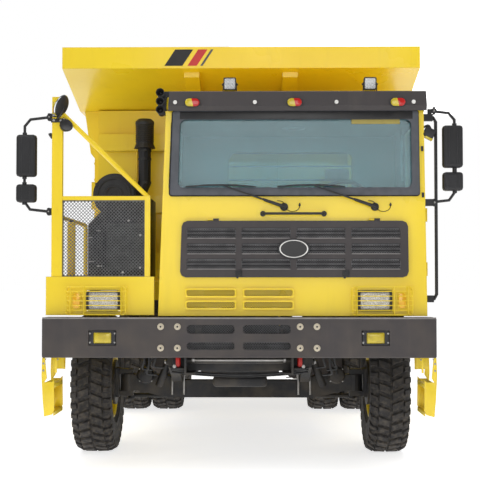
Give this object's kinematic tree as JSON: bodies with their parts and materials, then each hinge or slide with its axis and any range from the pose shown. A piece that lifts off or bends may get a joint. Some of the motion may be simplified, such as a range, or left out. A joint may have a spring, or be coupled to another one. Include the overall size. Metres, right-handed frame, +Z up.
{
  "type": "wide-body mining dump truck",
  "caption": "Off-highway mining dump truck with an offset flat cab, a railed side platform, steered front wheels, twin rear wheels and a tipping rock bed with a canopy.",
  "frame": {"origin": "on the ground under the middle of the vehicle's box", "axes": "+Z up, the front of the truck faces -Y, the vehicle's left (driver's) side is +X"},
  "size_m": [3.92, 8.8, 3.96],
  "materials": {
    "yellow_paint": "glossy machine yellow",
    "dark_grey_paint": "satin warm dark grey",
    "black_steel": "satin black chassis paint",
    "tyre_rubber": "matt block-tread rubber",
    "glass": "pale green-blue tinted glass",
    "lamp_glass": "clear lamp glass over a reflector",
    "chromed_rod": "ground and chromed",
    "cab_trim": "grained dark plastic",
    "seat_cloth": "dark woven cloth",
    "mesh_steel": "dull perforated sheet"
  },
  "bodies": {
    "chassis": {"frame": "black_steel", "front_bumper": "dark_grey_paint", "front_axle": "black_steel", "middle_axle": "black_steel", "rear_axle": "black_steel", "rear_suspension": "black_steel", "engine": "black_steel", "gearbox_and_propshaft": "black_steel", "fuel_tank": "dark_grey_paint", "hydraulic_tank": "dark_grey_paint", "battery_box": "dark_grey_paint", "step_left": "yellow_paint", "step_right": "yellow_paint", "headlamp_left": "lamp_glass", "headlamp_right": "lamp_glass", "platform": "yellow_paint", "guard_frame": "yellow_paint", "guard_mesh": "mesh_steel", "cooling_pack": "black_steel", "air_cleaner": "black_steel", "cab_floor": "dark_grey_paint", "cab_front": "yellow_paint", "cab_rear": "yellow_paint", "cab_side_right": "yellow_paint", "cab_roof": "yellow_paint", "visor": "dark_grey_paint", "windshield": "glass", "rear_glass": "glass", "side_glass_right": "glass", "dashboard": "cab_trim", "driver_seat": "seat_cloth", "passenger_seat": "seat_cloth", "mirrors_left": "black_steel", "mirrors_right": "black_steel"},
    "bed": {"bed_floor": "yellow_paint", "bed_side_left": "yellow_paint", "bed_side_right": "yellow_paint", "bed_front": "yellow_paint", "bed_canopy": "yellow_paint"},
    "hoist_barrel": {"hoist_barrel": "black_steel"},
    "hoist_rod": {"hoist_rod": "chromed_rod"},
    "knuckle_left": {"knuckle_left": "black_steel"},
    "knuckle_right": {"knuckle_right": "black_steel"},
    "tie_rod": {"tie_rod": "black_steel"},
    "front_wheel_left": {"front_tyre_left": "tyre_rubber", "front_rim_left": "yellow_paint"},
    "front_wheel_right": {"front_tyre_right": "tyre_rubber", "front_rim_right": "yellow_paint"},
    "door_left": {"door_left": "yellow_paint", "door_glass_left": "glass"},
    "grille_flap": {"grille_flap": "dark_grey_paint"},
    "middle_wheel_left": {"middle_wheel_left_tyres": "tyre_rubber", "middle_wheel_left_rims": "yellow_paint"},
    "middle_wheel_right": {"middle_wheel_right_tyres": "tyre_rubber", "middle_wheel_right_rims": "yellow_paint"},
    "rear_wheel_left": {"rear_wheel_left_tyres": "tyre_rubber", "rear_wheel_left_rims": "yellow_paint"},
    "rear_wheel_right": {"rear_wheel_right_tyres": "tyre_rubber", "rear_wheel_right_rims": "yellow_paint"}
  },
  "joints": [
    {"name": "bed_tilt", "type": "hinge", "parent": "chassis", "child": "bed", "pos_m": [0, 3.35, 1.3003], "axis": [-1, 0, 0], "range_deg": [0, 48]},
    {"name": "hoist_swing", "type": "hinge", "parent": "chassis", "child": "hoist_barrel", "pos_m": [0, 0.2, 0.9803], "axis": [1, 0, 0], "range_deg": [0, 14]},
    {"name": "hoist_extend", "type": "slide", "parent": "hoist_barrel", "child": "hoist_rod", "axis": [0, 0.9823, 0.1871], "range_m": [0, 0.625]},
    {"name": "steer_left", "type": "hinge", "parent": "chassis", "child": "knuckle_left", "pos_m": [1.12, -2.9, 0.6766], "axis": [0, 0, 1], "range_deg": [-32, 32]},
    {"name": "steer_right", "type": "hinge", "parent": "chassis", "child": "knuckle_right", "pos_m": [-1.12, -2.9, 0.6766], "axis": [0, 0, 1], "range_deg": [-32, 32]},
    {"name": "tie_rod_swing", "type": "hinge", "parent": "knuckle_left", "child": "tie_rod", "pos_m": [1.12, -2.6, 0.5436], "axis": [0, 0, 1], "range_deg": [-32, 32]},
    {"name": "door_left_swing", "type": "hinge", "parent": "chassis", "child": "door_left", "pos_m": [1.655, -4.1475, 1.78], "axis": [0, 0, -1], "range_deg": [0, 70]},
    {"name": "grille_flap_lift", "type": "hinge", "parent": "chassis", "child": "grille_flap", "pos_m": [0.4775, -4.314, 2.212], "axis": [-1, 0, 0], "range_deg": [0, 70]},
    {"name": "roll_front_left", "type": "hinge", "parent": "knuckle_left", "child": "front_wheel_left", "pos_m": [1.41, -2.9, 0.6766], "axis": [1, 0, 0], "continuous": true},
    {"name": "roll_front_right", "type": "hinge", "parent": "knuckle_right", "child": "front_wheel_right", "pos_m": [-1.41, -2.9, 0.6766], "axis": [1, 0, 0], "continuous": true},
    {"name": "roll_middle_left", "type": "hinge", "parent": "chassis", "child": "middle_wheel_left", "pos_m": [1.225, 0.9, 0.6766], "axis": [1, 0, 0], "continuous": true},
    {"name": "roll_middle_right", "type": "hinge", "parent": "chassis", "child": "middle_wheel_right", "pos_m": [-1.225, 0.9, 0.6766], "axis": [1, 0, 0], "continuous": true},
    {"name": "roll_rear_left", "type": "hinge", "parent": "chassis", "child": "rear_wheel_left", "pos_m": [1.225, 2.4, 0.6766], "axis": [1, 0, 0], "continuous": true},
    {"name": "roll_rear_right", "type": "hinge", "parent": "chassis", "child": "rear_wheel_right", "pos_m": [-1.225, 2.4, 0.6766], "axis": [1, 0, 0], "continuous": true}
  ],
  "couplings": [
    {"joint": "hoist_swing", "follows": "bed_tilt", "ratio": 0.2902},
    {"joint": "hoist_extend", "follows": "bed_tilt", "m_per_rad": 0.7424},
    {"joint": "steer_right", "follows": "steer_left", "ratio": 1},
    {"joint": "tie_rod_swing", "follows": "steer_left", "ratio": -1}
  ]
}
